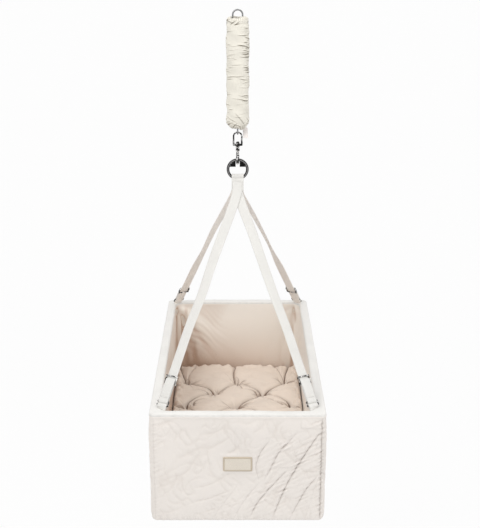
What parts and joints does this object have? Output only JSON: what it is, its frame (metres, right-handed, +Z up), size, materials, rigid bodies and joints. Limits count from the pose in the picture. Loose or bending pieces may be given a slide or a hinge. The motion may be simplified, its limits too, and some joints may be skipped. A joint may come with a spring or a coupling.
{
  "type": "hanging baby cradle",
  "caption": "Fabric box cradle for a baby, hung by crossed webbing straps with slide buckles from a ring, a swivel snap hook and a cloth-sleeved coil spring.",
  "frame": {"origin": "bearing point under the arch of the spring's top hook, where the ceiling hook carries it", "axes": "+Z up along the spring, +X to the viewer's right across the cradle, +Y from the front end to the rear end"},
  "size_m": [0.42, 0.8015, 1.1971],
  "materials": {
    "steel_wire": "plain drawn wire, lightly polished",
    "blackened_steel": "black oxide, satin",
    "spring_steel": "drawn spring wire, oiled",
    "nickel": "nickel plated casting, soft gloss",
    "dark_nickel": "dark nickel plate, gloss",
    "safety_cord": "braided polyester cord",
    "ruched_cotton": "cream cotton, gathered",
    "plain_tag": "bare beige tape",
    "webbing": "off-white woven webbing",
    "quilted_cover": "off-white quilted cotton over wadding",
    "rim_piping": "off-white padded rim band",
    "liner_cotton": "smooth beige cotton",
    "stiffener_board": "bare plywood, hidden between cover and liner",
    "plain_patch": "bare beige patch with a stitched border",
    "tufted_pad": "tufted beige cotton pad"
  },
  "bodies": {
    "hanger": {"spring_top_hook": "steel_wire", "spring_top_plug": "blackened_steel", "spring_coil": "spring_steel", "safety_cord": "safety_cord", "spring_sleeve": "ruched_cotton"},
    "spring_end": {"spring_bottom_plug": "blackened_steel", "spring_bottom_hook": "steel_wire", "sleeve_tag": "plain_tag"},
    "bow": {"swivel_bow": "steel_wire"},
    "hook": {"swivel_pin": "nickel", "snap_hook": "nickel", "gate_pin": "steel_wire", "gate_spring": "spring_steel"},
    "gate": {"hook_gate": "nickel"},
    "cradle": {"hanger_ring": "dark_nickel", "ring_wedge_left": "dark_nickel", "ring_wedge_right": "dark_nickel", "ring_loop": "webbing", "strap_front_left": "webbing", "strap_front_right": "webbing", "strap_rear_left": "webbing", "strap_rear_right": "webbing", "strap_return_front_left": "webbing", "strap_return_front_right": "webbing", "strap_return_rear_left": "webbing", "strap_return_rear_right": "webbing", "anchor_ring_front_left": "dark_nickel", "anchor_ring_front_right": "dark_nickel", "anchor_ring_rear_left": "dark_nickel", "anchor_ring_rear_right": "dark_nickel", "anchor_tab_front_left": "webbing", "anchor_tab_front_right": "webbing", "anchor_tab_rear_left": "webbing", "anchor_tab_rear_right": "webbing", "outer_cover": "quilted_cover", "rim_band": "rim_piping", "inner_liner": "liner_cotton", "board_left": "stiffener_board", "board_right": "stiffener_board", "board_front": "stiffener_board", "board_rear": "stiffener_board", "base_board": "stiffener_board", "label_patch": "plain_patch"},
    "mattress": {"mattress": "tufted_pad"},
    "slider_front_left": {"slider_front_left": "dark_nickel"},
    "slider_front_right": {"slider_front_right": "dark_nickel"},
    "slider_rear_left": {"slider_rear_left": "dark_nickel"},
    "slider_rear_right": {"slider_rear_right": "dark_nickel"}
  },
  "joints": [
    {"name": "spring_stretch", "type": "slide", "parent": "hanger", "child": "spring_end", "axis": [0, 0, -1], "range_m": [0, 0.15], "stiffness_N_per_m": 500, "springref_m": -0.5, "deforming": ["spring_coil", "safety_cord", "spring_sleeve"]},
    {"name": "bow_swing", "type": "hinge", "parent": "spring_end", "child": "bow", "pos_m": [0, 0, -0.304], "axis": [1, 0, 0], "range_deg": [-25, 25]},
    {"name": "swivel_turn", "type": "hinge", "parent": "bow", "child": "hook", "pos_m": [0, 0, -0.342], "axis": [0, 0, 1], "continuous": true},
    {"name": "gate_open", "type": "hinge", "parent": "hook", "child": "gate", "pos_m": [0, -0.0052, -0.3558], "axis": [1, 0, 0], "range_deg": [0, 28], "stiffness_Nm_per_rad": 0.02, "springref_deg": -28.65, "deforming": ["gate_spring"]},
    {"name": "ring_rock", "type": "hinge", "parent": "hook", "child": "cradle", "pos_m": [0, 0, -0.3838], "axis": [0, 1, 0], "range_deg": [-20, 20]},
    {"name": "slider_front_left_slide", "type": "slide", "parent": "cradle", "child": "slider_front_left", "axis": [0.2939, 0.5755, 0.7631], "range_m": [-0.018, 0.112], "deforming": ["strap_return_front_left"]},
    {"name": "slider_front_right_slide", "type": "slide", "parent": "cradle", "child": "slider_front_right", "axis": [-0.294, 0.5781, 0.7612], "range_m": [-0.018, 0.112], "deforming": ["strap_return_front_right"]},
    {"name": "slider_rear_left_slide", "type": "slide", "parent": "cradle", "child": "slider_rear_left", "axis": [0.294, -0.5781, 0.7612], "range_m": [-0.018, 0.112], "deforming": ["strap_return_rear_left"]},
    {"name": "slider_rear_right_slide", "type": "slide", "parent": "cradle", "child": "slider_rear_right", "axis": [-0.2939, -0.5755, 0.7631], "range_m": [-0.018, 0.112], "deforming": ["strap_return_rear_right"]},
    {"name": "mattress_lift", "type": "slide", "parent": "cradle", "child": "mattress", "axis": [0, 0, 1], "range_m": [0, 0.12]}
  ]
}
